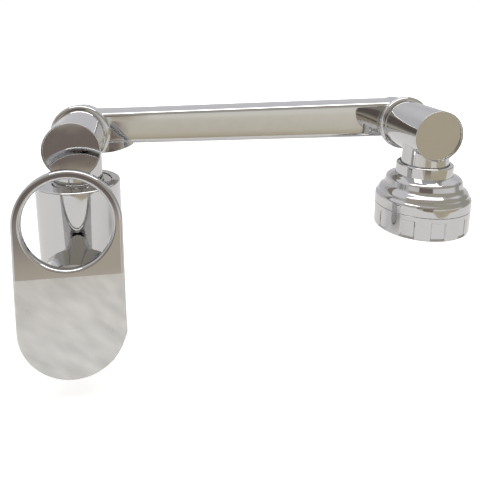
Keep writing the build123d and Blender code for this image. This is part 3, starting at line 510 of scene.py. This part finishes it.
def keep(name, shape, body, *replaced):
    bmesh.ops.remove_doubles(shape, verts=shape.verts, dist=DOUBLES)
    loose = [vert for vert in shape.verts if not vert.link_faces]
    bmesh.ops.delete(shape, geom=loose, context="VERTS")
    open_edges = sum(1 for edge in shape.edges if len(edge.link_faces) != 2)
    piece = as_object(shape, name)
    mesh = piece.data
    mesh.shade_smooth()
    mesh.set_sharp_from_angle(angle=radians(SHARP_ANGLE))
    mesh.materials.append(polished_chrome)
    piece.modifiers.new("weighted_normals", "WEIGHTED_NORMAL").keep_sharp = True
    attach(piece, body)
    if replaced:
        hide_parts(*replaced)
    low, high = [[round(f(v.co[i] for v in mesh.vertices) / MM, 1) for i in range(3)]
                 for f in (min, max)]
    print(name, len(mesh.polygons), "faces, open edges", open_edges, low, high)


# %% [markdown]
# Each hub ends in a cap: a flat mirror disc with a thin standing rim. The disc lies more than a
# millimetre behind the rim, so a narrow crescent of the wall shows on the side away from the eye.
# It is turned from one section, with the plug that holds it in the hub's bore.

# %% End caps
CAP_SECTION = [
    ((0, -17.15), 0), ((14.4, -17.15), 0.15), ((14.6, -18.5), 0.12), ((15.0, -18.5), 0.22),
    ((15.0, -17.02), 0), ((11.96, -17.02), 0), ((11.96, -15.85), 0.3), ((0, -15.85), 0)]
keep("turned_cap_left", turned_on_hub(CAP_SECTION, 0, False), "swivel", "end_cap_left")
keep("turned_cap_right", turned_on_hub(CAP_SECTION, REACH, False), "head", "end_cap_right")

# %% [markdown]
# Where hub and arm meet, the tap has a slim polished bead with a hairline groove, and that bead is
# what draws the bright double ring round the end of each hub. Here it is a ring of its own that
# covers the CAD model's plain flange and replaces nothing.

# %% Hub beads
BEAD_SECTION = [
    ((14.9, 20.7), 0), ((15.9, 20.7), 0.5), ((17.25, 21.6), 0.8), ((17.25, 22.75), 0.2),
    ((17.02, 22.95), 0.05), ((17.25, 23.15), 0.2), ((17.25, 24.46), 0.4), ((14.9, 24.46), 0)]
keep("hub_bead_left", turned_on_hub(BEAD_SECTION, 0, True), "swivel")
keep("hub_bead_right", turned_on_hub(BEAD_SECTION, REACH, True), "head")

# %% [markdown]
# The arm is a drawn tube of rounded rectangular section that grows a little towards the head. Drawn
# sides are never flat: they crown outwards by a seventh of a millimetre, and that slight curve is
# why its front goes from light at the top to olive at the bottom. One section wire serves the tube
# and the two beams that carry it on to the hubs, so the arm reads as one length of metal.

# %% Arm section
ARM_MIDDLE = 34.5
ARM_HEIGHT = 121.5
ARM_HALF = 10.0
ARM_HALF_AT_HEAD = 11.8
ARM_FROM, ARM_TO = 31.0, 187.5
ARM_WALL = 1.3
CROWN = 0.14
ARM_CORNER = 2.7
CROWN_BLEND = 5.0


def arm_section(shape, x, half_height):
    side, top = ARM_HALF - CROWN, half_height - CROWN
    corners = []
    for y, z in ((-side, top), (0, half_height), (side, top), (ARM_HALF, 0), (side, -top),
                 (0, -half_height), (-side, -top), (-ARM_HALF, 0)):
        radius = ARM_CORNER if y and z else CROWN_BLEND
        corners.append(((x, ARM_MIDDLE + y, ARM_HEIGHT + z), radius))
    wire_section(shape, corners, closed=True)


def only_verts(geometry):
    return [part for part in geometry if isinstance(part, bmesh.types.BMVert)]


def arm_length(shape, x_from, x_to, half_from, half_to):
    arm_section(shape, x_from, half_from)
    far = only_verts(bmesh.ops.extrude_edge_only(shape, edges=shape.edges[:])["geom"])
    bmesh.ops.translate(shape, vec=((x_to - x_from) * MM, 0, 0), verts=far)
    middle = Matrix.Translation((0, 0, -ARM_HEIGHT * MM))
    bmesh.ops.scale(shape, vec=(1, 1, half_to / half_from), space=middle, verts=far)


# %% Arm tube
tube = bmesh.new()
arm_length(tube, ARM_FROM, ARM_TO, ARM_HALF, ARM_HALF_AT_HEAD)
bmesh.ops.recalc_face_normals(tube, faces=tube.faces)
bmesh.ops.solidify(tube, geom=tube.faces[:], thickness=ARM_WALL * MM)
keep("drawn_arm_tube", tube, "arm", "arm_tube")

# %% [markdown]
# Each knuckle is a casting: a round plate behind the hub, a spigot through the hub with a groove
# for its clip, and a short beam that takes the tube. The turned part and the beam are made apart
# and joined with a Boolean modifier, whose result becomes the piece's own mesh.


# %% Join shapes
def join_shapes(base, *others):
    target = as_object(base, "join_base")
    extras = [as_object(shape, "join_extra") for shape in others]
    for extra in extras:
        union = target.modifiers.new("union", "BOOLEAN")
        union.operation, union.solver, union.object = "UNION", "EXACT", extra
    bpy.context.view_layer.update()
    solid = target.evaluated_get(bpy.context.evaluated_depsgraph_get()).to_mesh()
    joined = bmesh.new()
    joined.from_mesh(solid)
    for made in (target, *extras):
        bpy.data.objects.remove(made)
    return joined


# %% [markdown]
# The turned part of a knuckle is one open section from the clip's groove to the round plate. The
# window is where water passes from hub to arm, and it lies further forward on the head's side.


# %% Turned part and beam of a knuckle
def knuckle_turning(across, window):
    return turned_on_hub([
        ((0, window - 9.6), 0), ((9, window - 9.6), 0.5), ((9, window - 8.8), 0),
        ((8, window - 8.8), 0), ((8, window - 8.0), 0), ((9, window - 8.0), 0),
        ((9, window - 5.0), 0), ((10, window - 5.0), 0), ((10, window + 5.3), 0),
        ((12, window + 5.3), 0), ((12, 21.8), 0), ((12, 24.5), 0), ((14.6, 24.5), 0.5),
        ((14.6, 44.5), 2.0), ((0, 44.5), 0)], across, False)


def arm_beam(x_from, x_to, half_height):
    shape = bmesh.new()
    arm_length(shape, x_from, x_to, half_height, half_height)
    rims = [edge for edge in shape.edges if edge.is_boundary]
    bmesh.ops.holes_fill(shape, edges=rims)
    return shape


# %% [markdown]
# On the left, the casting swells downwards under the beam, like the heel of a bracket. It is a flat
# outline extruded backwards, with its lower edges rounded.

# %% Heel of the left knuckle
FOOT_BACK, FOOT_DEPTH = 25.2, 19
FOOT_ROUND = 1.2
FOOT_TOP_LIMIT = 116.5 * MM
foot = bmesh.new()
wire_section(foot, [((0, FOOT_BACK, 106.4), 0), ((22, FOOT_BACK, 106.4), 8),
                    ((30.8, FOOT_BACK, 111.4), 1.5), ((30.8, FOOT_BACK, 117), 0),
                    ((0, FOOT_BACK, 117), 0)], closed=True)
side = bmesh.ops.contextual_create(foot, geom=foot.edges[:])["faces"]
raised = only_verts(bmesh.ops.extrude_face_region(foot, geom=side)["geom"])
bmesh.ops.translate(foot, vec=(0, FOOT_DEPTH * MM, 0), verts=raised)
under = [edge for edge in foot.edges if len({round(v.co.y, 5) for v in edge.verts}) == 1
         and all(v.co.z < FOOT_TOP_LIMIT and v.co.x > 0 for v in edge.verts)]
bmesh.ops.bevel(foot, geom=under, offset=FOOT_ROUND * MM, offset_type="OFFSET", segments=4,
                profile=0.5, affect="EDGES", clamp_overlap=True, material=-1)
print("heel edges rounded", len(under))

# %% [markdown]
# The two knuckles are turned from the same section and differ in where their window lies, in the
# size of their beam and in the heel. Each is joined into one solid, as a casting is.

# %% Knuckles
left = join_shapes(knuckle_turning(0, 0), arm_beam(0, ARM_FROM, ARM_HALF), foot)
keep("cast_knuckle_left", left, "arm", "knuckle_left")
right = join_shapes(knuckle_turning(REACH, HEAD_FORWARD), arm_beam(ARM_TO, REACH, ARM_HALF_AT_HEAD))
keep("cast_knuckle_right", right, "arm", "knuckle_right")

# %% [markdown]
# The spray head's bell is turned from brass bar and stepped like a bell moulding: a round shoulder,
# an upright band, a second bead and then the rim. Each convex step catches the overhead light as a
# white arc, and each upright band mirrors the darker room, so the section decides the whole look.

# %% Bell of the spray head
BELL_SPIN_STEPS = 160
bell = turned_on_head([
    ((5, 88.5), 0), ((16.63, 88.5), 0), ((16.63, 94.0), 0.2), ((21.9, 91.7), 1.2),
    ((22.9, 86.6), 1.6), ((25.9, 84.4), 1.4), ((26.6, 81.9), 1.0), ((27.9, 80.6), 0.9),
    ((28.0, 78.6), 0.4), ((28.0, 74.62), 0.25), ((24.5, 74.62), 0), ((24.5, 76.1), 0),
    ((20.4, 84.8), 0), ((20.4, 86.1), 0), ((5, 86.1), 0)], BELL_SPIN_STEPS)
keep("turned_bell_shell", bell, "head", "head_shell")

# %% [markdown]
# The top of the body is not a sharp step: the polishing wheel has rolled its edge to about one
# millimetre. A thin ring with that rounding lies over the CAD body's top edge, replaces nothing,
# and turns its broad bevel into the fine bright line that the real edge shows.

# %% Rolled top edge of the body
rolled = bmesh.new()
wire_section(rolled, [((21.0, 0, 97.0), 0), ((22.9, 0, 95.6), 0), ((23.02, 0, 95.6), 0),
                      ((23.02, 0, 98.02), 1.0), ((21.0, 0, 98.02), 0)], closed=True)
turn(rolled, (0, 0, 0), (0, 0, 1), FINE_SPIN_STEPS)
keep("rolled_body_edge", rolled, "root")

# %% [markdown]
# A collar nut with a softly rounded top clamps the bell to the neck. Its upper corner is what
# shows, a thin white arc, so that corner is rounded here instead of cut at forty-five degrees.

# %% Collar nut of the spray head
collar = turned_on_head([
    ((14.2, 93.0), 0), ((15.32, 93.0), 0), ((15.32, 88.52), 0), ((16.58, 88.52), 0),
    ((16.6, 94.6), 0), ((16.6, 100.45), 0.9), ((14.25, 100.45), 0.25)], FINE_SPIN_STEPS)
keep("turned_collar_nut", collar, "head", "head_collar")

# %% [markdown]
# The spray ring is gripped with wet fingers, so ten shallow windows are pressed into its wall and
# leave ten raised lugs. The ring is spun in 120 steps of three degrees; six steps make a window
# and six a lug. The faces of each window are inset as one region and pushed in.

# %% Spray ring with its grips
GRIP_PITCH = 36
GRIP_BORDER, GRIP_DEPTH = 0.6 * MM, 0.95 * MM
GRIP_WALL = 27.6 * MM
GRIP_LOW, GRIP_HIGH = 60.5 * MM, 71.8 * MM
ring_shape = turned_on_head([
    ((24.8, 74.5), 0), ((24.8, 61.7), 0), ((22.8, 61.7), 0), ((22.8, 59.75), 0.2),
    ((26.3, 59.75), 0.5), ((27.6, 60.7), 0.3), ((27.95, 61.6), 0), ((27.95, 71.8), 0),
    ((28.0, 74.5), 0.2)], FINE_SPIN_STEPS)
windows = {}
for face in ring_shape.faces:
    centre = face.calc_center_median()
    x, y = centre.x - REACH * MM, centre.y - HEAD_FORWARD * MM
    angle = degrees(atan2(y, x)) % 360
    on_wall = sqrt(x ** 2 + y ** 2) > GRIP_WALL and GRIP_LOW < centre.z < GRIP_HIGH
    if on_wall and angle % GRIP_PITCH < GRIP_PITCH / 2:
        windows.setdefault(int(angle // GRIP_PITCH), []).append(face)
bmesh.ops.recalc_face_normals(ring_shape, faces=ring_shape.faces)
for faces in windows.values():
    bmesh.ops.inset_region(ring_shape, faces=faces, thickness=GRIP_BORDER, depth=-GRIP_DEPTH,
                           use_even_offset=True)
print("windows", len(windows), "faces in one", len(windows[0]))
keep("gripped_spray_ring", ring_shape, "ring", "spray_ring")
